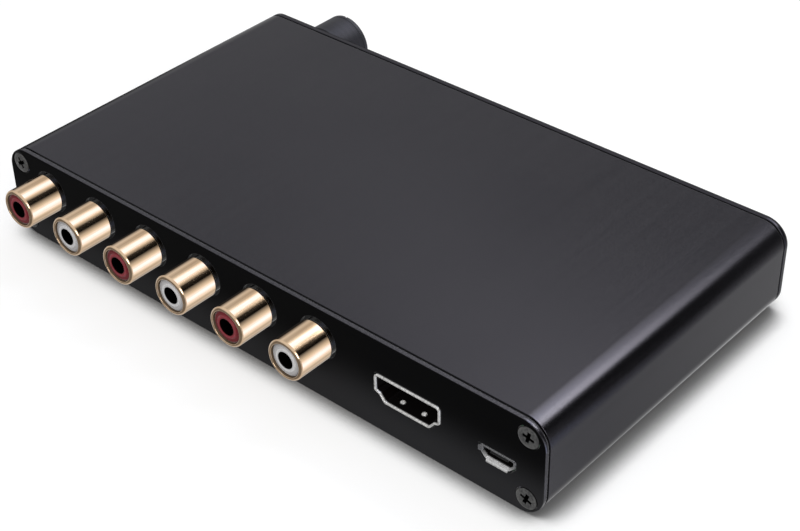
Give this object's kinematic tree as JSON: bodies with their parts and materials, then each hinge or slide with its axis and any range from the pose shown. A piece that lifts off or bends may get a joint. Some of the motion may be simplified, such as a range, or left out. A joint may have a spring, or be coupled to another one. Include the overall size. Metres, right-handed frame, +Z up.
{
  "type": "audio extractor",
  "caption": "Flat black metal box that takes sound out of a digital video signal: gold coaxial jacks, video and power sockets behind, volume knob in front.",
  "frame": {"origin": "centre of the underside of the whole part's box", "axes": "+X along the box's width, +Y from the jacks' side to the knob's side, +Z up"},
  "size_m": [0.1368, 0.0928, 0.0201],
  "materials": {
    "anodised_black": "fine grained dark anodised aluminium",
    "plate_black": "smooth black gloss",
    "screw_dark": "dark zinc plated",
    "board_green": "solder mask",
    "jack_gold": "polished pale gold plate",
    "insulator_red": "satin red plastic",
    "insulator_white": "satin white plastic",
    "plastic_black": "moulded black plastic",
    "contact_gold": "thin gold plate",
    "nickel": "nickel plated sheet",
    "knob_black": "black anodised aluminium",
    "shaft_metal": "turned metal",
    "pot_case": "moulded plastic",
    "lamp_lens": "milky clear",
    "lead_tin": "tinned wire",
    "shutter_grey": "moulded dark plastic",
    "emitter_red": "dark red resin",
    "lever_white": "moulded white plastic",
    "chip_black": "moulded epoxy",
    "can_aluminium": "drawn can",
    "ferrite": "pressed ferrite"
  },
  "bodies": {
    "case": {"enclosure_sleeve": "anodised_black", "rear_panel": "plate_black", "front_panel": "plate_black", "rear_screws": "screw_dark", "front_screws": "screw_dark", "circuit_board": "board_green", "jack_shell_1": "jack_gold", "jack_shell_2": "jack_gold", "jack_shell_3": "jack_gold", "jack_shell_4": "jack_gold", "jack_shell_5": "jack_gold", "jack_shell_6": "jack_gold", "jack_insulator_1": "insulator_red", "jack_insulator_2": "insulator_white", "jack_insulator_3": "insulator_red", "jack_insulator_4": "insulator_white", "jack_insulator_5": "insulator_red", "jack_insulator_6": "insulator_white", "jack_housing_1": "plastic_black", "jack_housing_2": "plastic_black", "jack_housing_3": "plastic_black", "jack_housing_4": "plastic_black", "jack_housing_5": "plastic_black", "jack_housing_6": "plastic_black", "jack_contacts": "contact_gold", "video_output_shell": "nickel", "video_output_tongue": "plastic_black", "video_output_contacts": "contact_gold", "video_input_shell": "nickel", "video_input_tongue": "plastic_black", "video_input_contacts": "contact_gold", "power_socket_shell": "nickel", "power_socket_tongue": "plastic_black", "power_socket_contacts": "contact_gold", "potentiometer_body": "pot_case", "headphone_socket": "plastic_black", "headphone_contacts": "contact_gold", "mode_switch_frame": "nickel", "status_lights": "lamp_lens", "light_leads": "lead_tin", "optical_socket": "plastic_black", "optical_emitter": "emitter_red", "video_chip": "chip_black", "audio_chip": "chip_black", "converter_chips": "chip_black", "memory_chip": "chip_black", "voltage_regulators": "chip_black", "crystals": "can_aluminium", "capacitors": "can_aluminium", "power_inductor": "ferrite"},
    "knob": {"volume_knob": "knob_black", "potentiometer_shaft": "shaft_metal"},
    "shutter": {"optical_shutter": "shutter_grey"},
    "switch_lever": {"mode_switch_lever": "lever_white"}
  },
  "joints": [
    {"name": "knob_turn", "type": "hinge", "parent": "case", "child": "knob", "pos_m": [-0.0521, 0.0379, 0.0135], "axis": [0, 1, 0], "range_deg": [-150, 150]},
    {"name": "lever_slide", "type": "slide", "parent": "case", "child": "switch_lever", "axis": [1, 0, 0], "range_m": [-0.002, 0.002]},
    {"name": "shutter_swing", "type": "hinge", "parent": "case", "child": "shutter", "pos_m": [0.024, 0.0369, 0.01565], "axis": [-1, 0, 0], "range_deg": [0, 88], "stiffness_Nm_per_rad": 0.0001, "springref_deg": -34.38}
  ]
}
